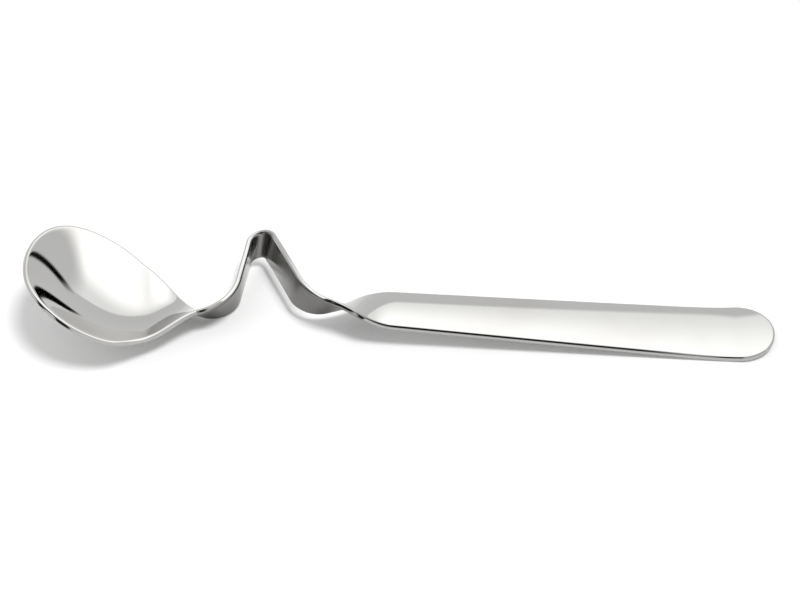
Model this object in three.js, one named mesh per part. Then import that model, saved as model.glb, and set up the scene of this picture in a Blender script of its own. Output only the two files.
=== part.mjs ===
// Jam spoon pressed and bent from one strip of stainless steel.
// Millimetres, +Z up. The bowl points to -X, the handle to +X and the jar hook to +Y.
import * as THREE from "three";

// Sheet and overall sizes
const SPOON_LENGTH = 175;
const SHEET = 1.4;
const STRIP_WIDTH = 8.3;
const REST_PITCH = THREE.MathUtils.degToRad(0.66);

// Bowl
const BOWL_LENGTH = 39.3;
const BOWL_WIDTH = 37;
const BOWL_TAPER = 0.833;
const BOWL_DEPTH = 5;
const BOWL_WALL_STRAIGHTNESS = 0.15;
const TIP_RISE = 14.8;
const RIM_CURVE = 2.58;
const RIM_FULLNESS = 2.18;
const NECK_HEIGHT = 5.2;
const NECK_FILLET = 7.3;
const NECK_FILLET_START = 0.5;
const NECK_FILLET_END = 0.8;
const NECK_START = 0.85;

// Hook for the rim of a jar, drawn as three corners with rounded bends
const FRONT_NECK_RUN = 8.2;
const FRONT_CORNER_X = BOWL_LENGTH + FRONT_NECK_RUN;
const HOOK_MOUTH = 17.15;
const BACK_CORNER_X = FRONT_CORNER_X + HOOK_MOUTH;
const CREST_OFFSET = 4.15;
const CREST_CORNER_X = FRONT_CORNER_X + CREST_OFFSET;
const CREST_CORNER_REACH = 29.75;
const FRONT_BEND = 9.05;
const CREST_BEND = 2.75;
const BACK_BEND = 9.1;
const HOOK_LIFT = THREE.MathUtils.degToRad(4.8);
const HOOK_FLARE = THREE.MathUtils.degToRad(4.4);
const FOLD_LEAN = 0.156;

// Quarter twists that stand the strip on edge, measured along the strip
const FRONT_TWIST_LEAD = 12.2;
const FRONT_TWIST_LENGTH = 25.7;
const BACK_TWIST_LEAD = 10.5;
const BACK_TWIST_LENGTH = 25.25;

// Handle
const HANDLE_SLOPE = 0.08;
const HANDLE_TURN_UP = 10.3;
const HANDLE_LOW_X = SPOON_LENGTH - HANDLE_TURN_UP;
const HANDLE_TURN_LENGTH = 6.1;
const HANDLE_END_SLOPE = 0.11;
const SHOULDER_RUN = 6.8;
const SHOULDER_START_X = BACK_CORNER_X + SHOULDER_RUN;
const SHOULDER_LENGTH = 7.5;
const SHOULDER_END_X = SHOULDER_START_X + SHOULDER_LENGTH;
const SHOULDER_WIDTH = 12.45;
const HANDLE_WIDTH = 18.3;
const HANDLE_WIDEST_INSET = 14;
const HANDLE_WIDEST_X = SPOON_LENGTH - HANDLE_WIDEST_INSET;
const HANDLE_END_ROUND = 9;
const HANDLE_CROWN = 0.48;

// Lines across the strip and round its edges
const ACROSS = 10;
const EDGE_POINTS = 3;
const SMALL_STEP = 0.02;
const TINY_SIDE = 1e-4;

// Sections along each stretch of the strip
const BOWL_TIP_STEPS = 14;
const BOWL_NECK_STEPS = 10;
const NECK_STEPS = 4;
const VALLEY_STEPS = 14;
const LEG_STEPS = 6;
const CREST_STEPS = 18;
const HANDLE_STEPS = 8;
const HANDLE_END_STEPS = 10;

// Polished stainless steel
const STEEL_COLOUR = 0xd2d2ce;
const STEEL_ROUGHNESS = 0.12;

const { lerp, smoothstep, clamp } = THREE.MathUtils;
const EDGE_RADIUS = SHEET / 2;
const TIP_X = EDGE_RADIUS;
const END_X = SPOON_LENGTH - EDGE_RADIUS;
const HALF_STRIP = STRIP_WIDTH / 2 - EDGE_RADIUS;

// Directions of the hook: along the spoon, out to the crest, and square to both
const ALONG = new THREE.Vector3(1, 0, 0);
const OUTWARD = new THREE.Vector3(0, Math.cos(HOOK_LIFT), Math.sin(HOOK_LIFT));
const ACROSS_HOOK = new THREE.Vector3(-FOLD_LEAN, Math.sin(HOOK_LIFT), -Math.cos(HOOK_LIFT));
const FLAT_ROLL = Math.PI / 2 - HOOK_LIFT;

/** Adds a straight run towards a corner and a bend round it, and gives the point where the bend ends. */
function addBend(path, from, corner, next, radius) {
  const inward = corner.clone().sub(from).normalize();
  const onward = next.clone().sub(corner).normalize();
  const turn = Math.atan2(inward.cross(onward), inward.dot(onward));
  const start = corner.clone().addScaledVector(inward, -radius * Math.tan(Math.abs(turn) / 2));
  const side = new THREE.Vector2(-inward.y, inward.x).multiplyScalar(Math.sign(turn));
  const centre = start.clone().addScaledVector(side, radius);
  const angle = Math.atan2(start.y - centre.y, start.x - centre.x);
  const bend = new THREE.EllipseCurve(centre.x, centre.y, radius, radius, angle, angle + turn, turn < 0);
  path.add(new THREE.LineCurve(from, start));
  path.add(bend);
  return bend.getPoint(1);
}

/** The middle line of the strip, seen square to the hook. */
function makeSpine() {
  const front = new THREE.Vector2(FRONT_CORNER_X, 0);
  const crest = new THREE.Vector2(CREST_CORNER_X, CREST_CORNER_REACH);
  const back = new THREE.Vector2(BACK_CORNER_X, 0);
  const end = new THREE.Vector2(END_X, 0);
  const path = new THREE.CurvePath();
  const frontEnd = addBend(path, new THREE.Vector2(TIP_X, 0), front, crest, FRONT_BEND);
  const crestEnd = addBend(path, frontEnd, crest, back, CREST_BEND);
  const backEnd = addBend(path, crestEnd, back, end, BACK_BEND);
  path.add(new THREE.LineCurve(backEnd, end));
  return path;
}

const SPINE = makeSpine();
const SPINE_LENGTH = SPINE.getLength();

// Distances along the strip where each straight ends and each bend ends
const [FRONT_IN, FRONT_OUT, CREST_IN, CREST_OUT, BACK_IN, BACK_OUT] = SPINE.getCurveLengths();
const FRONT_TWIST_START = FRONT_IN - FRONT_TWIST_LEAD;
const BACK_TWIST_START = BACK_OUT - BACK_TWIST_LEAD;
const CREST_MIDDLE = (CREST_IN + CREST_OUT) / 2;

/** Half width of the bowl's egg outline at x, from its round tip to its pointed neck. */
function eggHalf(x) {
  const place = clamp((x - TIP_X) / (BOWL_LENGTH - TIP_X), 0, 1);
  const widest = 0.5 / (0.5 + BOWL_TAPER);
  const shape = Math.sqrt(place) * (1 - place) ** BOWL_TAPER;
  const full = Math.sqrt(widest) * (1 - widest) ** BOWL_TAPER;
  return (BOWL_WIDTH / 2 - EDGE_RADIUS) * (shape / full);
}

/** Half width of the bowl and its neck, with the egg faired into the strip. */
function bowlHalf(x) {
  const egg = eggHalf(x);
  const reach = smoothstep(x, NECK_FILLET_START * BOWL_LENGTH, NECK_FILLET_END * BOWL_LENGTH);
  const strip = HALF_STRIP * reach;
  const fillet = NECK_FILLET * reach;
  const faired = (egg + strip + Math.hypot(egg - strip, fillet)) / 2;
  return faired - (Math.hypot(strip, fillet) - strip) / 2;
}

/** Share of the handle's round end that is passed at x. */
function endShare(x) {
  const round = HANDLE_END_ROUND - EDGE_RADIUS;
  return clamp((x - (END_X - round)) / round, 0, 1);
}

/** Half width of the handle at x, from the strip over the shoulder to the round end. */
function handleHalf(x) {
  const slope = (HANDLE_WIDTH - SHOULDER_WIDTH) / 2 / (HANDLE_WIDEST_X - SHOULDER_END_X);
  const taper = SHOULDER_WIDTH / 2 - EDGE_RADIUS + (x - SHOULDER_END_X) * slope;
  const half = lerp(HALF_STRIP, taper, smoothstep(x, SHOULDER_START_X, SHOULDER_END_X));
  return half * Math.sqrt(1 - endShare(x) ** 2);
}

/** Height of the handle, which slopes down to a low place near its end and turns up again. */
function handleHeight(x) {
  const past = x - HANDLE_LOW_X;
  const tilt = (HANDLE_END_SLOPE - HANDLE_SLOPE) * past;
  const bend = (HANDLE_END_SLOPE + HANDLE_SLOPE) * Math.hypot(past, HANDLE_TURN_LENGTH);
  const lowest = HANDLE_TURN_LENGTH * Math.sqrt(HANDLE_END_SLOPE * HANDLE_SLOPE);
  return EDGE_RADIUS + (tilt + bend) / 2 - lowest;
}

/** Height of the strip's middle line, which is the rim's height along the bowl. */
function spineHeight(x) {
  const place = clamp((x - TIP_X) / (BOWL_LENGTH - TIP_X), 0, 1);
  const rim = NECK_HEIGHT + TIP_RISE * (1 - place) ** RIM_CURVE * (1 + RIM_FULLNESS * place);
  return lerp(rim, handleHeight(x), smoothstep(x, FRONT_CORNER_X, BACK_CORNER_X));
}

/** Turn of the strip about its own line: on edge and a little flared in the hook, flat at both ends. */
function rollAt(along) {
  const front = smoothstep(along, FRONT_TWIST_START, FRONT_TWIST_START + FRONT_TWIST_LENGTH);
  const back = smoothstep(along, BACK_TWIST_START, BACK_TWIST_START + BACK_TWIST_LENGTH);
  return lerp(-HOOK_FLARE, FLAT_ROLL, 1 - front + back);
}

/** Point on the middle of the sheet; side runs from -1 at the near edge to 1 at the far edge. */
function sheetPoint(along, side) {
  const place = SPINE.getPoint(along / SPINE_LENGTH);
  const heading = SPINE.getTangent(along / SPINE_LENGTH);
  const roll = rollAt(along);
  const inPlane = ALONG.clone().multiplyScalar(-heading.y).addScaledVector(OUTWARD, heading.x);
  const width = inPlane.multiplyScalar(Math.sin(roll)).addScaledVector(ACROSS_HOOK, Math.cos(roll));
  const half = along < CREST_MIDDLE ? bowlHalf(place.x) : handleHalf(place.x);
  const fullness = (eggHalf(place.x) / (BOWL_WIDTH / 2 - EDGE_RADIUS)) ** 2;
  const dish = (1 - side * side) * (1 - BOWL_WALL_STRAIGHTNESS * side * side);
  const depth = along < FRONT_OUT ? BOWL_DEPTH * fullness * dish : 0;
  return new THREE.Vector3(place.x, 0, spineHeight(place.x) - depth)
    .addScaledVector(OUTWARD, place.y)
    .addScaledVector(width, half * side);
}

/** Direction of travel on the sheet between two nearby points. */
function direction(from, to) {
  return to.clone().sub(from).normalize();
}

/** Frame of the sheet at one point: its upper normal and its direction along the strip. */
function sheetFrame(along, side) {
  const inside = clamp(along, SMALL_STEP * 2, SPINE_LENGTH - SMALL_STEP * 2);
  const ahead = direction(sheetPoint(inside - SMALL_STEP, side), sheetPoint(inside + SMALL_STEP, side));
  const low = clamp(side - SMALL_STEP, -1, 1);
  const high = clamp(side + SMALL_STEP, -1, 1);
  const over = direction(sheetPoint(inside, low), sheetPoint(inside, high));
  return { ahead, normal: ahead.clone().cross(over).normalize() };
}

/** Extra thickness in the middle of the handle's top. */
function crownAt(along, side) {
  const x = SPINE.getPoint(along / SPINE_LENGTH).x;
  const begun = smoothstep(x, BACK_CORNER_X, SHOULDER_END_X);
  return HANDLE_CROWN * begun * (1 - endShare(x) ** 2) * (1 - side * side);
}

/** Rounded edge of the sheet, from its top to its underside, without the two end points. */
function edgePoints(along, side) {
  const atEnd = along <= 0 || along >= SPINE_LENGTH;
  const { ahead, normal } = sheetFrame(along, atEnd ? 0 : side);
  const out = atEnd
    ? ahead.multiplyScalar(along <= 0 ? -1 : 1)
    : normal.clone().cross(ahead).multiplyScalar(side).normalize();
  const centre = sheetPoint(along, side);
  return Array.from({ length: EDGE_POINTS }, (_, i) => {
    const angle = (Math.PI * (i + 1)) / (EDGE_POINTS + 1);
    return centre
      .clone()
      .addScaledVector(normal, EDGE_RADIUS * Math.cos(angle))
      .addScaledVector(out, EDGE_RADIUS * Math.sin(angle));
  });
}

/** Closed outline of the sheet at one place along the strip. */
function sectionAt(along) {
  const atEnd = along <= 0 || along >= SPINE_LENGTH;
  const top = [];
  const under = [];
  for (let i = 0; i <= ACROSS; i++) {
    const side = (2 * i) / ACROSS - 1;
    const { normal } = sheetFrame(along, atEnd ? 0 : side);
    const middle = sheetPoint(along, side);
    top.push(middle.clone().addScaledVector(normal, EDGE_RADIUS + crownAt(along, side)));
    under.push(middle.clone().addScaledVector(normal, -EDGE_RADIUS));
  }
  const far = edgePoints(along, 1);
  const near = edgePoints(along, -1).reverse();
  return [...top, ...far, ...under.reverse(), ...near];
}

/** Closed solid through a row of sections, with flat ends where the strip goes on. */
function makeSolid(places) {
  const rings = places.map(sectionAt);
  const count = rings[0].length;
  const faces = [];
  for (let r = 0; r + 1 < rings.length; r++) {
    for (let i = 0; i < count; i++) {
      const j = (i + 1) % count;
      faces.push([rings[r][i], rings[r + 1][i], rings[r + 1][j]]);
      faces.push([rings[r][i], rings[r + 1][j], rings[r][j]]);
    }
  }
  const last = rings.length - 1;
  const mirror = (i) => count - EDGE_POINTS - 1 - i;
  for (let i = 0; i < ACROSS; i++) {
    if (places[0] > 0) faces.push(...endCap(rings[0], i, mirror, false));
    if (places[last] < SPINE_LENGTH) faces.push(...endCap(rings[last], i, mirror, true));
  }
  if (places[0] > 0) faces.push(...edgeCap(rings[0], false));
  if (places[last] < SPINE_LENGTH) faces.push(...edgeCap(rings[last], true));
  return toGeometry(faces);
}

/** Two triangles of a flat end between the top and the underside. */
function endCap(ring, i, mirror, outward) {
  const [a, b, c, d] = [ring[i], ring[i + 1], ring[mirror(i + 1)], ring[mirror(i)]];
  const faces = [
    [a, b, c],
    [a, c, d],
  ];
  return outward ? faces.map((face) => face.reverse()) : faces;
}

/** Triangles that close the two rounded edges of a flat end. */
function edgeCap(ring, outward) {
  const faces = [];
  const farTop = ACROSS;
  const nearUnder = 2 * ACROSS + EDGE_POINTS + 1;
  for (const first of [farTop, nearUnder]) {
    for (let i = 1; i <= EDGE_POINTS; i++) {
      const a = ring[first];
      const b = ring[first + i];
      const c = ring[(first + i + 1) % ring.length];
      faces.push(outward ? [a, c, b] : [a, b, c]);
    }
  }
  return faces;
}

/** Geometry from triangles, leaving out those that shrink to a line at the ends of the spoon. */
function toGeometry(faces) {
  const apart = (a, b) => a.distanceTo(b) > TINY_SIDE;
  const sound = faces.filter(([a, b, c]) => apart(a, b) && apart(b, c) && apart(c, a));
  const geometry = new THREE.BufferGeometry().setFromPoints(sound.flat());
  geometry.computeVertexNormals();
  return geometry;
}

/** Evenly spaced places along the strip. */
function evenly(from, to, steps) {
  return Array.from({ length: steps + 1 }, (_, i) => lerp(from, to, i / steps));
}

/** Places that crowd together towards one end, for a round end. */
function crowded(roundEnd, to, steps) {
  return Array.from({ length: steps + 1 }, (_, i) =>
    lerp(roundEnd, to, 1 - Math.cos((Math.PI / 2) * (i / steps))),
  );
}

// Regions of the one strip, each from one shared section to the next
const BOWL_MIDDLE = BOWL_LENGTH / 2;
const BOWL_END = BOWL_LENGTH * NECK_START;
const BACK_NECK_END = BACK_OUT + SHOULDER_END_X - SPINE.getPoint(BACK_OUT / SPINE_LENGTH).x;
const HANDLE_END_START = SPINE_LENGTH - HANDLE_WIDEST_INSET;
const REGIONS = {
  bowl: [
    ...crowded(0, BOWL_MIDDLE, BOWL_TIP_STEPS),
    ...evenly(BOWL_MIDDLE, BOWL_END, BOWL_NECK_STEPS).slice(1),
  ],
  front_neck: [
    ...evenly(BOWL_END, FRONT_IN, NECK_STEPS),
    ...evenly(FRONT_IN, FRONT_OUT, VALLEY_STEPS).slice(1),
  ],
  hook: [
    ...evenly(FRONT_OUT, CREST_IN, LEG_STEPS),
    ...evenly(CREST_IN, CREST_OUT, CREST_STEPS).slice(1),
    ...evenly(CREST_OUT, BACK_IN, LEG_STEPS).slice(1),
  ],
  back_neck: [
    ...evenly(BACK_IN, BACK_OUT, VALLEY_STEPS),
    ...evenly(BACK_OUT, BACK_NECK_END, VALLEY_STEPS).slice(1),
  ],
  handle: [
    ...evenly(BACK_NECK_END, HANDLE_END_START, HANDLE_STEPS),
    ...crowded(SPINE_LENGTH, HANDLE_END_START, HANDLE_END_STEPS).reverse().slice(1),
  ],
};

const spoon = new THREE.Group();
for (const [name, places] of Object.entries(REGIONS)) {
  const steel = new THREE.MeshStandardMaterial({
    color: STEEL_COLOUR,
    metalness: 1,
    roughness: STEEL_ROUGHNESS,
  });
  const mesh = new THREE.Mesh(makeSolid(places).rotateY(-REST_PITCH), steel);
  mesh.name = name;
  spoon.add(mesh);
}

// Lays the spoon on the middle of its own footprint, on the front neck's lower edge and the handle's low place
const box = new THREE.Box3().setFromObject(spoon);
const middle = box.getCenter(new THREE.Vector3());
for (const mesh of spoon.children) mesh.geometry.translate(-middle.x, -middle.y, -box.min.z);

export default spoon;
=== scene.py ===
import logging
import math
from dataclasses import dataclass, field
from enum import Enum
from typing import Any

import bmesh
import bpy
import numpy as np
from mathutils import Matrix, Quaternion, Vector


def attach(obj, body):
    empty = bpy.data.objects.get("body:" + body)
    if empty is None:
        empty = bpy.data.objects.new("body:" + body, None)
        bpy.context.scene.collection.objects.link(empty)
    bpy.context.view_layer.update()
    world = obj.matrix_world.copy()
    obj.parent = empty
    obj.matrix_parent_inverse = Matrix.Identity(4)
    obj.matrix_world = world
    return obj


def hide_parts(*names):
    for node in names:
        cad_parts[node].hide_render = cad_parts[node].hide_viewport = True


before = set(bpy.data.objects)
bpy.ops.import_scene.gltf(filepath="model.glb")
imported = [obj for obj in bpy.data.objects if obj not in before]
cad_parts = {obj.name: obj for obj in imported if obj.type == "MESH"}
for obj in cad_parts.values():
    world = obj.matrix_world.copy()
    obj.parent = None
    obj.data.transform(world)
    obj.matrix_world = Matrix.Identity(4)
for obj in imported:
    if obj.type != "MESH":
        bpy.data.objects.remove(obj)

LOG = logging.getLogger("jam_spoon")
MM = 0.001
BODY = "root"

Socket = bpy.types.NodeSocket
Colour = tuple[float, float, float]
Span = tuple[int, int]
Ramp = tuple[float, float]
Band = tuple[float, float, float, float]


class Region(Enum):
    """Named stretches of the one bent strip, in order from the tip to the handle's end."""

    BOWL = "bowl"
    FRONT_NECK = "front_neck"
    HOOK = "hook"
    BACK_NECK = "back_neck"
    HANDLE = "handle"


RING_STEPS: dict[Region, tuple[int, ...]] = {
    Region.BOWL: (60, 36),
    Region.FRONT_NECK: (14, 44),
    Region.HOOK: (22, 44, 22),
    Region.BACK_NECK: (36, 40),
    Region.HANDLE: (60, 40),
}


def smoothstep(value: np.ndarray, low: float, high: float) -> np.ndarray:
    """Eases from 0 at low to 1 at high.

    Args:
        value: Numbers to ease.
        low: Where the ease starts.
        high: Where the ease ends.

    Returns:
        The eased numbers, from 0 to 1.
    """
    share = np.clip((value - low) / (high - low), 0.0, 1.0)
    return share * share * (3.0 - 2.0 * share)


def evenly(start: float, end: float, steps: int) -> np.ndarray:
    """Gives evenly spaced places, without the last one.

    Args:
        start: First place.
        end: Place that the steps lead to.
        steps: Number of steps.

    Returns:
        The places along the strip.
    """
    return np.linspace(start, end, steps, endpoint=False)


def crowded(start: float, end: float, steps: int) -> np.ndarray:
    """Gives places that crowd together at start, for a round end.

    Args:
        start: Place of the round end.
        end: Place that the steps lead to.
        steps: Number of steps.

    Returns:
        The places along the strip, with both ends.
    """
    quarter = np.linspace(0.0, math.pi / 2.0, steps + 1)
    return start + (end - start) * (1.0 - np.cos(quarter))


@dataclass(frozen=True)
class Sheet:
    """The steel sheet that the blank is stamped from, in millimetres."""

    thickness: float = 1.4
    strip_width: float = 8.3

    @property
    def edge(self) -> float:
        """Radius of the rounded edge."""
        return self.thickness / 2.0

    @property
    def half_strip(self) -> float:
        """Half the width of the narrow strip, up to its rounded edge."""
        return self.strip_width / 2.0 - self.edge


@dataclass(frozen=True)
class Bowl:
    """The egg-shaped bowl and its neck, in millimetres."""

    sheet: Sheet
    length: float = 39.3
    width: float = 37.0
    taper: float = 0.833
    depth: float = 5.0
    wall_straightness: float = 0.15
    tip_rise: float = 14.8
    rim_curve: float = 2.58
    rim_fullness: float = 2.18
    neck_height: float = 5.2
    neck_fillet: float = 7.3
    fillet_start: float = 0.5
    fillet_end: float = 0.8
    neck_start: float = 0.85

    def place(self, x: np.ndarray) -> np.ndarray:
        """Share of the bowl's length at x, 0 at the tip and 1 at the neck."""
        return np.clip((x - self.sheet.edge) / (self.length - self.sheet.edge), 0.0, 1.0)

    def egg_share(self, x: np.ndarray) -> np.ndarray:
        """Width of the egg outline as a share of its widest place.

        Args:
            x: Places along the spoon.

        Returns:
            Shares from 0 to 1.
        """
        place = self.place(x)
        widest = 0.5 / (0.5 + self.taper)
        full = math.sqrt(widest) * (1.0 - widest) ** self.taper
        return np.sqrt(place) * (1.0 - place) ** self.taper / full

    def half_width(self, x: np.ndarray) -> np.ndarray:
        """Half width of the bowl, with the egg faired into the strip.

        Args:
            x: Places along the spoon.

        Returns:
            Half widths up to the rounded edge.
        """
        egg = (self.width / 2.0 - self.sheet.edge) * self.egg_share(x)
        reach = smoothstep(x, self.fillet_start * self.length, self.fillet_end * self.length)
        strip = self.sheet.half_strip * reach
        fillet = self.neck_fillet * reach
        faired = (egg + strip + np.hypot(egg - strip, fillet)) / 2.0
        return faired - (np.hypot(strip, fillet) - strip) / 2.0

    def rim_height(self, x: np.ndarray) -> np.ndarray:
        """Height of the rim, which sweeps up to the tip.

        Args:
            x: Places along the spoon.

        Returns:
            Heights of the middle of the sheet.
        """
        place = self.place(x)
        sweep = (1.0 - place) ** self.rim_curve * (1.0 + self.rim_fullness * place)
        return self.neck_height + self.tip_rise * sweep

    def dish(self, x: np.ndarray, side: np.ndarray) -> np.ndarray:
        """Depth of the dish under the rim.

        Args:
            x: Places along the spoon.
            side: Places across, from -1 to 1.

        Returns:
            Depths below the rim.
        """
        wall = (1.0 - side**2) * (1.0 - self.wall_straightness * side**2)
        return self.depth * self.egg_share(x) ** 2 * wall


@dataclass(frozen=True)
class Handle:
    """The flat handle with its shoulder and round end, in millimetres."""

    sheet: Sheet
    back_corner_x: float
    spoon_length: float
    slope: float = 0.08
    turn_up: float = 10.3
    turn_length: float = 6.1
    end_slope: float = 0.11
    shoulder_run: float = 6.8
    shoulder_length: float = 7.5
    shoulder_width: float = 12.45
    width: float = 18.3
    widest_inset: float = 14.0
    end_round: float = 9.0
    crown: float = 0.48

    @property
    def shoulder_start(self) -> float:
        """Place where the strip begins to widen."""
        return self.back_corner_x + self.shoulder_run

    @property
    def shoulder_end(self) -> float:
        """Place where the shoulder meets the taper."""
        return self.shoulder_start + self.shoulder_length

    def end_share(self, x: np.ndarray) -> np.ndarray:
        """Share of the round end that is passed at x.

        Args:
            x: Places along the spoon.

        Returns:
            Shares from 0 to 1.
        """
        round_off = self.end_round - self.sheet.edge
        return np.clip((x - (self.spoon_length - self.end_round)) / round_off, 0.0, 1.0)

    def half_width(self, x: np.ndarray) -> np.ndarray:
        """Half width from the strip over the shoulder to the round end.

        Args:
            x: Places along the spoon.

        Returns:
            Half widths up to the rounded edge.
        """
        edge = self.sheet.edge
        run = self.spoon_length - self.widest_inset - self.shoulder_end
        slope = (self.width - self.shoulder_width) / 2.0 / run
        taper = self.shoulder_width / 2.0 - edge + (x - self.shoulder_end) * slope
        blend = smoothstep(x, self.shoulder_start, self.shoulder_end)
        half = self.sheet.half_strip + (taper - self.sheet.half_strip) * blend
        return half * np.sqrt(1.0 - self.end_share(x) ** 2)

    def height(self, x: np.ndarray) -> np.ndarray:
        """Height of the handle, which slopes down to a low place near its end and turns up again.

        Args:
            x: Places along the spoon.

        Returns:
            Heights of the middle of the sheet.
        """
        past = x - (self.spoon_length - self.turn_up)
        tilt = (self.end_slope - self.slope) * past
        bend = (self.end_slope + self.slope) * np.hypot(past, self.turn_length)
        lowest = self.turn_length * math.sqrt(self.end_slope * self.slope)
        return self.sheet.edge + (tilt + bend) / 2.0 - lowest

    def crown_at(self, x: np.ndarray, side: np.ndarray) -> np.ndarray:
        """Extra thickness in the middle of the handle's top.

        Args:
            x: Places along the spoon.
            side: Places across, from -1 to 1.

        Returns:
            Extra thickness over the sheet.
        """
        begun = smoothstep(x, self.back_corner_x, self.shoulder_end)
        return self.crown * begun * (1.0 - self.end_share(x) ** 2) * (1.0 - side**2)


@dataclass(frozen=True)
class Run:
    """One straight or one bend of the strip's middle line; a straight has radius 0."""

    start: float
    length: float
    x: float
    reach: float
    angle: float
    radius: float

    def at(self, along: np.ndarray) -> tuple[np.ndarray, np.ndarray, np.ndarray]:
        """Place and heading on this run.

        Args:
            along: Distances along the strip.

        Returns:
            The x, the reach and the heading angle at each distance.
        """
        far = along - self.start
        if self.radius == 0.0:
            x = self.x + far * math.cos(self.angle)
            reach = self.reach + far * math.sin(self.angle)
            return x, reach, np.full_like(far, self.angle)
        turned = self.angle + far / self.radius
        x = self.x + self.radius * (np.sin(turned) - math.sin(self.angle))
        reach = self.reach - self.radius * (np.cos(turned) - math.cos(self.angle))
        return x, reach, turned


@dataclass(frozen=True)
class Hook:
    """The sideways hook, drawn as three corners with rounded bends, in millimetres."""

    sheet: Sheet
    bowl_length: float
    spoon_length: float
    front_run: float = 8.2
    mouth: float = 17.15
    crest_offset: float = 4.15
    crest_reach: float = 29.75
    front_bend: float = 9.05
    crest_bend: float = 2.75
    back_bend: float = 9.1
    lift: float = math.radians(4.8)
    flare: float = math.radians(4.4)
    lean: float = 0.156
    front_twist_lead: float = 12.2
    front_twist_length: float = 25.7
    back_twist_lead: float = 10.5
    back_twist_length: float = 25.25

    @property
    def front_corner_x(self) -> float:
        """Corner where the strip turns out of the neck."""
        return self.bowl_length + self.front_run

    @property
    def back_corner_x(self) -> float:
        """Corner where the strip turns back into the handle."""
        return self.front_corner_x + self.mouth

    @property
    def outward(self) -> np.ndarray:
        """Direction from the spoon's line to the crest."""
        return np.array([0.0, math.cos(self.lift), math.sin(self.lift)])

    @property
    def across(self) -> np.ndarray:
        """Direction across the strip where it stands on edge."""
        return np.array([-self.lean, math.sin(self.lift), -math.cos(self.lift)])

    def runs(self) -> list[Run]:
        """Straights and bends of the middle line.

        Returns:
            Seven runs, straights and bends by turns.
        """
        edge = self.sheet.edge
        points = [
            Vector((edge, 0.0)),
            Vector((self.front_corner_x, 0.0)),
            Vector((self.front_corner_x + self.crest_offset, self.crest_reach)),
            Vector((self.back_corner_x, 0.0)),
            Vector((self.spoon_length - edge, 0.0)),
        ]
        radii = [self.front_bend, self.crest_bend, self.back_bend]
        made: list[Run] = []
        here, start = points[0], 0.0
        for corner, following, radius in zip(points[1:-1], points[2:], radii):
            into = (corner - here).normalized()
            onward = (following - corner).normalized()
            angle = math.atan2(into.y, into.x)
            turn = math.atan2(into.x * onward.y - into.y * onward.x, into.dot(onward))
            cut = corner - into * radius * math.tan(abs(turn) / 2.0)
            made.append(Run(start, (cut - here).length, here.x, here.y, angle, 0.0))
            start += made[-1].length
            made.append(Run(start, abs(turn) * radius, cut.x, cut.y, angle, math.copysign(radius, turn)))
            start += made[-1].length
            here = corner + onward * radius * math.tan(abs(turn) / 2.0)
        made.append(Run(start, (points[-1] - here).length, here.x, here.y, 0.0, 0.0))
        return made


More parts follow.
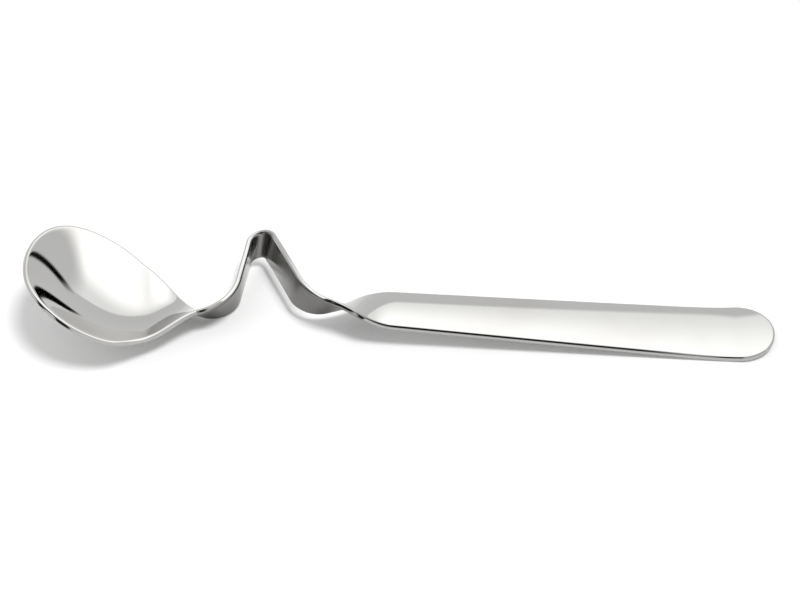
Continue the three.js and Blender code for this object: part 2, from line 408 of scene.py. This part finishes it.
@dataclass
class Spoon:
    """The whole bent strip: its middle surface, its skin and its five named pieces."""

    length: float = 175.0
    pitch: float = math.radians(0.66)
    sheet: Sheet = field(default_factory=Sheet)
    across_steps: int = 36
    edge_angles: tuple[int, ...] = (
        0, 10, 20, 30, 40, 50, 60, 64, 66, 78, 90, 102, 114, 116, 130, 145, 160, 170, 180,
    )
    facet_middle: float = math.radians(90.0)
    facet_half: float = math.radians(25.0)
    # Where the painted dark reflection line on the handle's edge corners begins, fades and lies round
    # the edge.
    line_start: float = 12.0
    line_fade: Ramp = (32.0, 16.0)
    line_loss: float = 0.75
    line_angles: Band = (14.0, 22.0, 58.0, 66.0)
    underside_shift: float = 0.1
    small_step: float = 0.02
    weld: float = 2e-7

    def __post_init__(self) -> None:
        """Ties the bowl, the hook and the handle to the shared sizes."""
        self.bowl = Bowl(self.sheet)
        self.hook = Hook(self.sheet, self.bowl.length, self.length)
        self.handle = Handle(self.sheet, self.hook.back_corner_x, self.length)
        self.runs = self.hook.runs()
        ends = [run.start + run.length for run in self.runs]
        self.front_in, self.front_out = ends[0:2]
        self.crest_in, self.crest_out = ends[2:4]
        self.back_in, self.back_out, self.end = ends[4:]

    @property
    def crest(self) -> float:
        """Middle of the crest's bend, along the strip."""
        return (self.crest_in + self.crest_out) / 2.0

    def spine(self, along: np.ndarray) -> tuple[np.ndarray, np.ndarray, np.ndarray]:
        """Place and heading of the middle line.

        Args:
            along: Distances along the strip.

        Returns:
            The x, the reach and the heading angle.
        """
        found = [run.at(along) for run in self.runs]
        past = [along < run.start + run.length for run in self.runs[:-1]]
        picked = [np.select(past, [f[i] for f in found[:-1]], found[-1][i]) for i in range(3)]
        return picked[0], picked[1], picked[2]

    def roll(self, along: np.ndarray) -> np.ndarray:
        """Turn of the strip about its own line, on edge and a little flared in the hook.

        Args:
            along: Distances along the strip.

        Returns:
            Angles in radians.
        """
        hook = self.hook
        front_start = self.front_in - hook.front_twist_lead
        back_start = self.back_out - hook.back_twist_lead
        front = smoothstep(along, front_start, front_start + hook.front_twist_length)
        back = smoothstep(along, back_start, back_start + hook.back_twist_length)
        return (math.pi / 2.0 - hook.lift + hook.flare) * (1.0 - front + back) - hook.flare

    def middle(self, along: np.ndarray, side: np.ndarray) -> np.ndarray:
        """Points on the middle of the sheet.

        Args:
            along: Distances along the strip.
            side: Places across, -1 at the near edge and 1 at the far edge.

        Returns:
            Points in millimetres, with x, y and z on the last axis.
        """
        x, reach, heading = self.spine(along)
        roll = self.roll(along)
        out = self.hook.outward
        onward = np.array([1.0, 0.0, 0.0])
        in_plane = np.cos(heading)[..., None] * out - np.sin(heading)[..., None] * onward
        width = np.sin(roll)[..., None] * in_plane + np.cos(roll)[..., None] * self.hook.across
        half = np.where(along < self.crest, self.bowl.half_width(x), self.handle.half_width(x))
        depth = np.where(along < self.front_out, self.bowl.dish(x, side), 0.0)
        blend = smoothstep(x, self.hook.front_corner_x, self.hook.back_corner_x)
        height = self.bowl.rim_height(x) * (1.0 - blend) + self.handle.height(x) * blend
        base = np.stack([x, np.zeros_like(x), height - depth], axis=-1)
        return base + reach[..., None] * out + (half * side)[..., None] * width

    def frames(self, along: np.ndarray, side: np.ndarray) -> tuple[np.ndarray, np.ndarray]:
        """Upper normal and direction of travel on the sheet.

        Args:
            along: Distances along the strip.
            side: Places across.

        Returns:
            Unit normals and unit directions along the strip.
        """
        step = self.small_step
        inside = np.clip(along, 2.0 * step, self.end - 2.0 * step)
        ahead = self.middle(inside + step, side) - self.middle(inside - step, side)
        farther = self.middle(inside, np.clip(side + step, -1.0, 1.0))
        nearer = self.middle(inside, np.clip(side - step, -1.0, 1.0))
        normal = np.cross(ahead, farther - nearer)
        normal /= np.linalg.norm(normal, axis=-1, keepdims=True)
        return normal, ahead / np.linalg.norm(ahead, axis=-1, keepdims=True)

    def stations(self) -> tuple[np.ndarray, dict[Region, Span]]:
        """Places along the strip where the skin has a ring.

        Returns:
            The places, and the first and last ring of each region.
        """
        bowl_middle = self.bowl.length / 2.0
        bowl_end = self.bowl.length * self.bowl.neck_start
        back_x = self.spine(np.array([self.back_out]))[0][0]
        shoulder = self.back_out + self.handle.shoulder_end - back_x
        end_start = self.end - self.handle.widest_inset
        marks = {
            Region.BOWL: (0.0, bowl_middle, bowl_end),
            Region.FRONT_NECK: (bowl_end, self.front_in, self.front_out),
            Region.HOOK: (self.front_out, self.crest_in, self.crest_out, self.back_in),
            Region.BACK_NECK: (self.back_in, self.back_out, shoulder),
            Region.HANDLE: (shoulder, end_start, self.end),
        }
        places: list[np.ndarray] = []
        spans: dict[Region, Span] = {}
        count = 0
        for region, stops in marks.items():
            steps = RING_STEPS[region]
            pieces = [evenly(*stretch) for stretch in zip(stops, stops[1:], steps)]
            if region is Region.BOWL:
                pieces[0] = crowded(stops[0], stops[1], steps[0])[:-1]
            if region is Region.HANDLE:
                pieces[-1] = crowded(stops[-1], stops[-2], steps[-1])[::-1]
            ring_count = sum(len(piece) for piece in pieces)
            last = count + ring_count - (1 if region is Region.HANDLE else 0)
            spans[region] = (count, last)
            places += pieces
            count += ring_count
        return np.concatenate(places), spans

    def ring(self) -> tuple[np.ndarray, np.ndarray]:
        """Places round one ring of the skin.

        Returns:
            Place across the sheet and angle from its top to its underside, both closed.
        """
        over = np.linspace(-1.0, 1.0, self.across_steps + 1)
        turn = np.radians(self.edge_angles)
        ones = np.ones(len(turn) - 2)
        side = np.concatenate([over, ones, over[::-1], -ones, [-1.0]])
        top, underside = np.zeros_like(over), np.full_like(over, math.pi)
        angle = np.concatenate([top, turn[1:-1], underside, turn[-2:0:-1], [0.0]])
        return side, angle

    def satin_and_shade_share(self, places: np.ndarray) -> np.ndarray:
        """Share of satin finish and painted shade on the strip's back, fullest at the hook's bends.

        Args:
            places: Distances along the strip from the bowl's tip.

        Returns:
            Shares from 0, polished, to 1, satin with the full painted shade.
        """
        leg = self.back_in - self.crest_out
        shares = (
            (self.front_in - 6.0, 0.0),
            (self.front_in + 2.0, 1.0),
            (self.front_out, 0.8),
            (self.front_out + 5.0, 0.45),
            (self.crest_in - 3.0, 0.3),
            (self.crest_in, 1.0),
            (self.crest, 0.6),
            (self.crest_out, 1.0),
            (self.crest_out + 2.5, 0.05),
            (self.crest_out + 0.45 * leg, 0.2),
            (self.back_in, 0.75),
            (self.back_out, 1.0),
            (self.back_out + 5.0, 1.0),
            (self.back_out + 17.0, 0.0),
        )
        return np.interp(places, [place for place, _ in shares], [share for _, share in shares])

    def painted_line_share(self, places: np.ndarray, angle: np.ndarray) -> np.ndarray:
        """Share of the painted dark reflection line at the handle's edge corners, which fades near the
        round end.

        Args:
            places: Distances along the strip.
            angle: Angles from the sheet's top to its underside.

        Returns:
            Shares from 0 to 1, indexed by ring and by place round it.
        """
        begun = smoothstep(places, self.back_out, self.back_out + self.line_start)
        faded = smoothstep(places, self.end - self.line_fade[0], self.end - self.line_fade[1])
        bend = np.interp(np.degrees(angle), self.line_angles, (0.0, 1.0, 1.0, 0.0))
        return np.outer(begun * (1.0 - self.line_loss * faded), bend)

    def edge_reach(self, angle: np.ndarray) -> np.ndarray:
        """Radius of the rounded edge, which is a little flat at its outermost.

        Args:
            angle: Angles from the sheet's top to its underside.

        Returns:
            Distances from the middle of the edge.
        """
        off = np.abs(angle - self.facet_middle)
        flat = math.cos(self.facet_half) / np.cos(np.minimum(off, self.facet_half))
        return self.sheet.edge * np.where(off < self.facet_half, flat, 1.0)

    def skin_points(self, places: np.ndarray) -> np.ndarray:
        """Points of the skin, ring by ring.

        Args:
            places: Distances along the strip.

        Returns:
            Points in millimetres, indexed by ring and by place round it.
        """
        side_row, angle_row = self.ring()
        along, side = np.meshgrid(places, side_row, indexing="ij")
        angle = np.broadcast_to(angle_row, side.shape)
        at_end = (along <= 0.0) | (along >= self.end)
        normal, ahead = self.frames(along, np.where(at_end, 0.0, side))
        out = np.cross(normal, ahead) * np.sign(side)[..., None]
        out = np.where(at_end[..., None], ahead * np.where(along <= 0.0, -1.0, 1.0)[..., None], out)
        x = self.spine(along)[0]
        crown = np.where(angle == 0.0, self.handle.crown_at(x, side), 0.0)
        edge = self.edge_reach(angle)
        lift = (edge * np.cos(angle) + crown)[..., None] * normal
        return self.middle(along, side) + lift + (edge * np.sin(angle))[..., None] * out

    def resting_points(self, places: np.ndarray) -> np.ndarray:
        """Points of the skin as the spoon lies on the table, over the middle of its footprint.

        Args:
            places: Distances along the strip.

        Returns:
            Points in millimetres, indexed by ring and by place round it.
        """
        points = self.skin_points(places) @ np.array(Matrix.Rotation(self.pitch, 3, "Y"))
        low, high = points.min(axis=(0, 1)), points.max(axis=(0, 1))
        return points - np.array([(low[0] + high[0]) / 2.0, (low[1] + high[1]) / 2.0, low[2]])

    def build_skin(self) -> tuple[bmesh.types.BMesh, dict[Region, Span]]:
        """Bends a flat grid into the closed skin of the spoon.

        Returns:
            The skin in metres, and the first and last ring of each region.
        """
        places, spans = self.stations()
        points = self.resting_points(places)
        side, angle = self.ring()
        rings, round_steps = len(places) - 1, len(side) - 1
        widths = np.linalg.norm(points[:, self.across_steps] - points[:, 0], axis=-1) / 2.0
        skin = bmesh.new()
        bmesh.ops.create_grid(skin, x_segments=rings, y_segments=round_steps, size=0.5)
        uv = skin.loops.layers.uv.new("strip")
        station = skin.faces.layers.int.new("station")
        # This layer holds the satin finish and the painted shade of the hook's underside.
        satin_and_shade = skin.verts.layers.float.new("satin_and_shade")
        rim = skin.verts.layers.float.new("rim")
        # This layer holds the painted dark reflection line at the edge corners.
        corner = skin.verts.layers.float.new("corner")
        spots = {
            vert: (round((vert.co.x + 0.5) * rings), round((vert.co.y + 0.5) * round_steps))
            for vert in skin.verts
        }
        for face in skin.faces:
            face.smooth = True
            face[station] = min(spots[loop.vert][0] for loop in face.loops)
            for loop in face.loops:
                i, j = spots[loop.vert]
                shift = self.underside_shift if angle[j] > math.pi / 2.0 else 0.0
                loop[uv].uv = (places[i] * MM, side[j] * widths[i] * MM + shift)
        # Shares of the satin finish with painted shade, and of the painted dark reflection line.
        dulled_and_shaded = self.satin_and_shade_share(places)
        line = self.painted_line_share(places, angle)
        for vert, (i, j) in spots.items():
            vert.co = Vector(points[i, j]) * MM
            vert[satin_and_shade] = float(dulled_and_shaded[i]) * max(0.0, -math.cos(angle[j]))
            vert[rim] = math.sin(angle[j])
            vert[corner] = float(line[i, j])
        bmesh.ops.remove_doubles(skin, verts=skin.verts[:], dist=self.weld)
        bmesh.ops.recalc_face_normals(skin, faces=skin.faces[:])
        skin.normal_update()
        shade = skin.verts.layers.float_vector.new("shade")
        for vert in skin.verts:
            vert[shade] = vert.normal
        return skin, spans

    def cut_piece(self, skin: bmesh.types.BMesh, region: Region, span: Span) -> bpy.types.Object:
        """Cuts one region out of the skin and closes its ends.

        Args:
            skin: The whole skin.
            region: The region to keep.
            span: Its first and last ring.

        Returns:
            The closed piece, shaded as part of the whole skin.
        """
        piece = skin.copy()
        station = piece.faces.layers.int["station"]
        away = [face for face in piece.faces if not span[0] <= face[station] < span[1]]
        bmesh.ops.delete(piece, geom=away, context="FACES")
        ends = [edge for edge in piece.edges if edge.is_boundary]
        caps = bmesh.ops.holes_fill(piece, edges=ends, sides=0)["faces"]
        for face in caps:
            face.smooth = False
        mesh = bpy.data.meshes.new(region.value + "_steel")
        piece.to_mesh(mesh)
        piece.free()
        shade = np.empty(len(mesh.vertices) * 3)
        mesh.attributes["shade"].data.foreach_get("vector", shade)
        shade = shade.reshape(-1, 3)
        normals = [
            tuple(shade[mesh.loops[i].vertex_index]) if face.use_smooth else tuple(face.normal)
            for face in mesh.polygons
            for i in face.loop_indices
        ]
        mesh.attributes.remove(mesh.attributes["shade"])
        mesh.normals_split_custom_set(normals)
        made = bpy.data.objects.new(region.value + "_steel", mesh)
        bpy.context.scene.collection.objects.link(made)
        return made

    def build(self, finish: "PolishedSteel") -> list[bpy.types.Object]:
        """Makes, dresses and places the five pieces.

        Args:
            finish: The finish that all the pieces share.

        Returns:
            The pieces, from the bowl to the handle.
        """
        skin, spans = self.build_skin()
        steel = finish.material()
        pieces: list[bpy.types.Object] = []
        for region, span in spans.items():
            piece = self.cut_piece(skin, region, span)
            piece.data.materials.append(steel)
            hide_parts(region.value)
            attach(piece, BODY)
            LOG.info("%s: %d faces", piece.name, len(piece.data.polygons))
            pieces.append(piece)
        skin.free()
        return pieces


class NodeBench:
    """Adds and wires shader nodes in one tree."""

    def __init__(self, tree: bpy.types.NodeTree) -> None:
        """Starts with an empty tree.

        Args:
            tree: The node tree to fill.
        """
        self.tree = tree
        tree.nodes.clear()

    def add(self, kind: str, inputs: dict[Any, Any] | None = None, **settings: Any) -> bpy.types.Node:
        """Adds one node.

        Args:
            kind: Blender's type name of the node.
            inputs: Socket name or number, to a value or to a socket to link from.
            settings: Attributes of the node itself.

        Returns:
            The node.
        """
        node = self.tree.nodes.new(kind)
        for name, value in settings.items():
            setattr(node, name, value)
        for name, value in (inputs or {}).items():
            if isinstance(value, Socket):
                self.tree.links.new(value, node.inputs[name])
            else:
                node.inputs[name].default_value = value
        return node

    def math(self, operation: str, *values: Any) -> Socket:
        """Adds one sum.

        Args:
            operation: Name of the operation.
            values: Numbers or sockets.

        Returns:
            The result's socket.
        """
        return self.add("ShaderNodeMath", dict(enumerate(values)), operation=operation).outputs[0]

    def ease(self, value: Socket, ramp: Ramp, start: float = 0.0, end: float = 1.0) -> Socket:
        """Eases a number from start to end.

        Args:
            value: Socket to ease.
            ramp: Where the ease begins and where it ends.
            start: Result before the ramp.
            end: Result past the ramp.

        Returns:
            The eased number's socket.
        """
        low, high = ramp
        inputs = {"Value": value, "From Min": low, "From Max": high, "To Min": start, "To Max": end}
        return self.add("ShaderNodeMapRange", inputs, interpolation_type="SMOOTHSTEP").outputs["Result"]

    def band(self, value: Socket, edges: Band) -> Socket:
        """Eases a number up to 1 over the first two edges and down to 0 over the last two.

        Args:
            value: Socket to ease.
            edges: The four edges, rising.

        Returns:
            The eased number's socket.
        """
        return self.math("MULTIPLY", self.ease(value, edges[:2]), self.ease(value, edges[2:], 1.0, 0.0))

    def blend(self, share: Socket, first: Any, second: Any) -> Socket:
        """Mixes two numbers.

        Args:
            share: Socket that goes from 0, the first number, to 1, the second.
            first: Number or socket.
            second: Number or socket.

        Returns:
            The mixed number's socket.
        """
        inputs = {"Factor": share, "A": first, "B": second}
        return self.add("ShaderNodeMix", inputs, data_type="FLOAT").outputs[0]

    def mix_colour(self, share: Socket, first: Any, second: Any) -> Socket:
        """Mixes two colours.

        Args:
            share: Socket that goes from 0, the first colour, to 1, the second.
            first: Colour or socket.
            second: Colour or socket.

        Returns:
            The mixed colour's socket.
        """
        node = self.add("ShaderNodeMix", {0: share}, data_type="RGBA")
        for socket, colour in zip((s for s in node.inputs if s.type == "RGBA"), (first, second)):
            if isinstance(colour, Socket):
                self.tree.links.new(colour, socket)
            else:
                socket.default_value = (*colour, 1.0)
        return next(socket for socket in node.outputs if socket.type == "RGBA")

    def attribute(self, name: str) -> Socket:
        """Reads one number that the mesh carries."""
        return self.add("ShaderNodeAttribute", attribute_name=name).outputs["Fac"]

    def noise(self, place: Socket, scale: float, detail: float) -> Socket:
        """Adds one noise pattern.

        Args:
            place: Socket of the coordinates.
            scale: Size of the pattern in them.
            detail: Number of finer layers.

        Returns:
            The pattern's socket.
        """
        inputs = {"Vector": place, "Scale": scale, "Detail": detail}
        return self.add("ShaderNodeTexNoise", inputs).outputs["Fac"]


@dataclass(frozen=True)
class PolishedSteel:
    """Mirror-polished stainless steel, satin where the strip was bent on edge, with painted shade there
    and a painted dark reflection line on the handle's edge corners.
    """

    colour: Colour = (0.455, 0.453, 0.443)
    warm_colour: Colour = (0.437, 0.431, 0.417)
    # Painted shade: far darker than the polished steel, for the shadowed floor that the hook's underside
    # mirrors.
    satin_and_shade_colour: Colour = (0.13, 0.127, 0.12)
    # Painted reflection: near black, for the dark room that the handle's edge corners mirror.
    painted_line_colour: Colour = (0.03, 0.0295, 0.028)
    polish_rough: float = 0.04
    smudge_rough: float = 0.02
    satin_rough: float = 0.26
    rim_rough: float = 0.02
    scratch_rough: float = 0.02
    line_scale: tuple[float, float, float] = (1.0 / 0.02, 1.0 / 0.00022, 1.0)
    line_detail: float = 3.0
    line_bump: float = 0.012
    line_depth: float = 0.00002
    satin_bump: float = 0.10
    scratch_turn: tuple[float, float, float] = (0.0, 0.0, 0.6)
    scratch_scale: tuple[float, float, float] = (90.0, 5200.0, 1.0)
    scratch_detail: float = 1.0
    scratch_ramp: Ramp = (0.68, 0.78)
    scratch_bump: float = 0.02
    scratch_depth: float = 0.00001
    smudge_scale: float = 60.0
    smudge_detail: float = 4.0
    smudge_ramp: Ramp = (0.45, 0.75)

    def material(self) -> bpy.types.Material:
        """Makes the finish from polish lines, fine scratches, smudges and rims, with painted shade on
        the satin and a painted dark reflection line at the corners.

        Returns:
            The material.
        """
        made = bpy.data.materials.new("polished_steel")
        made.use_nodes = True
        bench = NodeBench(made.node_tree)
        strip = bench.add("ShaderNodeUVMap", uv_map="strip").outputs["UV"]
        place = bench.add("ShaderNodeTexCoord").outputs["Object"]
        # The satin share also brings painted shade, and the corner share a painted dark reflection line.
        satin_and_shade = bench.attribute("satin_and_shade")
        rim = bench.attribute("rim")
        corner = bench.attribute("corner")

        along = bench.add("ShaderNodeMapping", {"Vector": strip, "Scale": self.line_scale}).outputs[0]
        lines = bench.noise(along, 1.0, self.line_detail)
        turned = {"Vector": strip, "Rotation": self.scratch_turn, "Scale": self.scratch_scale}
        crossing = bench.add("ShaderNodeMapping", turned).outputs[0]
        scratches = bench.ease(bench.noise(crossing, 1.0, self.scratch_detail), self.scratch_ramp)
        smudges = bench.ease(bench.noise(place, self.smudge_scale, self.smudge_detail), self.smudge_ramp)

        tint = bench.mix_colour(smudges, self.colour, self.warm_colour)
        # Painted shade: the satin share darkens the hook's underside to a dark grey.
        tint = bench.mix_colour(satin_and_shade, tint, self.satin_and_shade_colour)
        # Painted reflection: the corner share darkens the edge corners to a near-black line.
        tint = bench.mix_colour(corner, tint, self.painted_line_colour)

        rough = bench.math("MULTIPLY_ADD", smudges, self.smudge_rough, self.polish_rough)
        rough = bench.math("MULTIPLY_ADD", satin_and_shade, self.satin_rough, rough)
        rough = bench.math("MULTIPLY_ADD", rim, self.rim_rough, rough)
        rough = bench.math("MULTIPLY_ADD", scratches, self.scratch_rough, rough)

        strength = bench.math("MULTIPLY_ADD", satin_and_shade, self.satin_bump, self.line_bump)
        grain = {"Strength": strength, "Distance": self.line_depth, "Height": lines}
        normal = bench.add("ShaderNodeBump", grain).outputs["Normal"]
        marks = {"Strength": self.scratch_bump, "Distance": self.scratch_depth, "Height": scratches}
        normal = bench.add("ShaderNodeBump", {**marks, "Normal": normal}).outputs["Normal"]

        steel = {"Base Color": tint, "Metallic": 1.0, "Roughness": rough, "Normal": normal}
        shader = bench.add("ShaderNodeBsdfPrincipled", steel)
        bench.add("ShaderNodeOutputMaterial", {"Surface": shader.outputs[0]})
        return made


@dataclass(frozen=True)
class Room:
    """The room that the steel mirrors, painted by direction, in degrees.

    A direction's climb goes from the horizon at the back, over the top, to the front, and its right
    goes from the left side to the right side. A white soft box hangs over the back, the walls are
    grey, and a dark place lies above the camera, with pale screens beside it.
    """

    wall: float = 1.02
    dark: float = 0.02
    wall_climb: Ramp = (60.0, 96.0)
    box_back: float = 1.55
    box_front: float = 2.32
    box_dim: float = 0.74
    box_glow_climb: Ramp = (29.0, 56.0)
    box_glow_right: Ramp = (-12.0, 7.0)
    box_low_slant: float = 0.5
    box_low: Ramp = (33.7, 36.7)
    box_high: Ramp = (88.0, 94.0)
    box_right_slant: float = -0.4
    box_right: Ramp = (22.0, 30.0)
    box_left: Ramp = (-60.0, -20.0)
    streak_slant: float = -0.8
    streak_climb: Band = (-12.6, -11.2, -9.4, -7.6)
    streak_right: Ramp = (30.0, 37.0)
    leaf_climb: Band = (-6.0, -4.5, -1.0, 0.5)
    leaf_right: Band = (16.0, 18.5, 23.0, 26.0)
    roof_climb: Ramp = (88.0, 95.0)
    roof_right: Ramp = (4.0, 10.0)
    screen_climb: Ramp = (138.0, 151.0)
    screen_right: Ramp = (-7.0, 0.0)
    screen_left: Ramp = (-32.0, -24.0)
    side_reach: Ramp = (62.0, 72.0)
    even_light: float = 0.5
    even_from_left: float = 1.0

    def box_share(self, bench: NodeBench, climb: Socket, right: Socket) -> Socket:
        """Share of the soft box over the back.

        Args:
            bench: The world's nodes.
            climb: Socket of the direction's climb.
            right: Socket of the direction's turn to the right.

        Returns:
            The share's socket, 1 inside the box.
        """
        low = bench.math("MULTIPLY_ADD", right, self.box_low_slant, climb)
        side = bench.math("MULTIPLY_ADD", climb, self.box_right_slant, right)
        share = bench.ease(low, self.box_low)
        share = bench.math("MULTIPLY", share, bench.ease(climb, self.box_high, 1.0, 0.0))
        share = bench.math("MULTIPLY", share, bench.ease(side, self.box_right, 1.0, 0.0))
        return bench.math("MULTIPLY", share, bench.ease(right, self.box_left))

    def box_glow(self, bench: NodeBench, climb: Socket, right: Socket) -> Socket:
        """Level of the soft box, brighter to the front and dimmer to the left.

        Args:
            bench: The world's nodes.
            climb: Socket of the direction's climb.
            right: Socket of the direction's turn to the right.

        Returns:
            The level's socket.
        """
        glow = bench.ease(climb, self.box_glow_climb, self.box_back, self.box_front)
        return bench.math("MULTIPLY", glow, bench.ease(right, self.box_glow_right, self.box_dim, 1.0))

    def wall_level(self, bench: NodeBench, climb: Socket, right: Socket) -> Socket:
        """Level of the walls, with the dark marks that the bowl mirrors and the pale screens.

        Args:
            bench: The world's nodes.
            climb: Socket of the direction's climb.
            right: Socket of the direction's turn to the right.

        Returns:
            The level's socket.
        """
        slant = bench.math("MULTIPLY_ADD", right, self.streak_slant, climb)
        streak = bench.band(slant, self.streak_climb)
        streak = bench.math("MULTIPLY", streak, bench.ease(right, self.streak_right))
        leaf = bench.band(climb, self.leaf_climb)
        leaf = bench.math("MULTIPLY", leaf, bench.band(right, self.leaf_right))
        clear = bench.math("SUBTRACT", 1.0, bench.math("MAXIMUM", streak, leaf))
        wall = bench.ease(climb, self.wall_climb, self.wall, self.dark)
        wall = bench.math("MULTIPLY", wall, clear)
        above = bench.ease(climb, self.roof_climb, 0.0, self.wall)
        roof = bench.math("MULTIPLY", bench.ease(right, self.roof_right), above)
        screen = bench.ease(right, self.screen_left, 1.0, 0.0)
        screen = bench.math("MAXIMUM", bench.ease(right, self.screen_right), screen)
        screen = bench.math("MULTIPLY", screen, bench.ease(climb, self.screen_climb, 0.0, self.wall))
        return bench.math("MAXIMUM", wall, bench.math("MAXIMUM", roof, screen))

    def build(self) -> None:
        """Paints the world: this room in the steel, even light on the table, white to the camera."""
        world = bpy.data.worlds.new("studio")
        bpy.context.scene.world = world
        world.use_nodes = True
        bench = NodeBench(world.node_tree)
        direction = bench.add("ShaderNodeTexCoord").outputs["Generated"]
        split = bench.add("ShaderNodeSeparateXYZ", {0: direction})
        climb = bench.math("DEGREES", bench.math("ARCTAN2", split.outputs["Z"], split.outputs["Y"]))
        right = bench.math("DEGREES", bench.math("ARCSINE", split.outputs["X"]))
        box = self.box_share(bench, climb, right)
        wall = self.wall_level(bench, climb, right)
        level = bench.blend(box, wall, self.box_glow(bench, climb, right))
        beside = bench.ease(bench.math("ABSOLUTE", right), self.side_reach)
        level = bench.blend(beside, level, self.wall)
        leftward = -self.even_light * self.even_from_left
        even = bench.math("MULTIPLY_ADD", split.outputs["X"], leftward, self.even_light)
        path = bench.add("ShaderNodeLightPath")
        level = bench.blend(path.outputs["Is Glossy Ray"], even, level)
        room = bench.add("ShaderNodeBackground", {"Color": (1.0, 1.0, 1.0, 1.0), "Strength": level})
        white = bench.add("ShaderNodeBackground", {"Color": (1.0, 1.0, 1.0, 1.0), "Strength": 1.0})
        choice = {0: path.outputs["Is Camera Ray"], 1: room.outputs[0], 2: white.outputs[0]}
        seen = bench.add("ShaderNodeMixShader", choice)
        bench.add("ShaderNodeOutputWorld", {"Surface": seen.outputs[0]})


@dataclass(frozen=True)
class Studio:
    """A white table under one wide overhead lamp, seen from the photograph's side."""

    table_colour: Colour = (0.94, 0.94, 0.94)
    table_lift: float = 0.1
    table_size: float = 6.0
    table_back: float = 0.16
    key_strength: float = 1.85
    key_spread: float = math.radians(19.0)
    key_lean: float = math.radians(11.0)
    key_turn: float = math.radians(14.0)
    camera_place: tuple[float, float, float] = (0.00456, -0.46640, 0.39854)
    camera_target: tuple[float, float, float] = (-0.00055, 0.00836, 0.0)
    camera_roll: float = math.radians(0.86)
    camera_clip: Ramp = (0.01, 100.0)
    lens: float = 117.0
    sensor: float = 36.0

    def build_camera(self) -> None:
        """Sets the camera at the photograph's angle."""
        data = bpy.data.cameras.new("camera")
        data.lens = self.lens
        data.sensor_width = self.sensor
        data.clip_start, data.clip_end = self.camera_clip
        camera = bpy.data.objects.new("camera", data)
        camera.location = self.camera_place
        aim = Vector(self.camera_target) - Vector(self.camera_place)
        roll = Quaternion((0.0, 0.0, 1.0), self.camera_roll)
        camera.rotation_euler = (aim.to_track_quat("-Z", "Y") @ roll).to_euler()
        bpy.context.scene.collection.objects.link(camera)
        bpy.context.scene.camera = camera

    def table_paint(self) -> bpy.types.Material:
        """Makes the table's matt white, lifted a little to the camera and in the steel's mirror.

        Returns:
            The material.
        """
        paint = bpy.data.materials.new("white_table")
        paint.use_nodes = True
        bench = NodeBench(paint.node_tree)
        matt = bench.add("ShaderNodeBsdfDiffuse", {"Color": (*self.table_colour, 1.0)})
        path = bench.add("ShaderNodeLightPath")
        seen = bench.math("MAXIMUM", path.outputs["Is Camera Ray"], path.outputs["Is Glossy Ray"])
        strength = bench.math("MULTIPLY", seen, self.table_lift)
        lift = bench.add("ShaderNodeEmission", {"Strength": strength})
        white = bench.add("ShaderNodeAddShader", {0: matt.outputs[0], 1: lift.outputs[0]})
        bench.add("ShaderNodeOutputMaterial", {"Surface": white.outputs[0]})
        paint.cycles.emission_sampling = "NONE"
        return paint

    def build_table(self) -> None:
        """Lays the plain white table under the spoon."""
        sheet = bmesh.new()
        bmesh.ops.create_grid(sheet, x_segments=1, y_segments=1, size=self.table_size / 2.0)
        shift = Vector((0.0, self.table_back - self.table_size / 2.0, 0.0))
        bmesh.ops.translate(sheet, verts=sheet.verts[:], vec=shift)
        mesh = bpy.data.meshes.new("table")
        sheet.to_mesh(mesh)
        sheet.free()
        mesh.materials.append(self.table_paint())
        table = bpy.data.objects.new("table", mesh)
        bpy.context.scene.collection.objects.link(table)

    def build_key(self) -> None:
        """Hangs the wide lamp to the front and right over the table, unseen in the steel's mirror."""
        data = bpy.data.lights.new("key", "SUN")
        data.energy = self.key_strength
        data.angle = self.key_spread
        lamp = bpy.data.objects.new("key", data)
        lamp.rotation_euler = (self.key_lean, self.key_turn, 0.0)
        lamp.visible_glossy = False
        bpy.context.scene.collection.objects.link(lamp)

    def build(self) -> None:
        """Sets up the camera, the table, the lamp and the room."""
        bpy.context.scene.view_settings.view_transform = "Standard"
        self.build_camera()
        self.build_table()
        self.build_key()
        Room().build()


def main() -> None:
    """Builds the spoon and the studio round it."""
    logging.basicConfig(level=logging.INFO, format="%(name)s: %(message)s")
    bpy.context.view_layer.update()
    pieces = Spoon().build(PolishedSteel())
    LOG.info("%d pieces of polished steel", len(pieces))
    Studio().build()


if __name__ == "__main__":
    main()
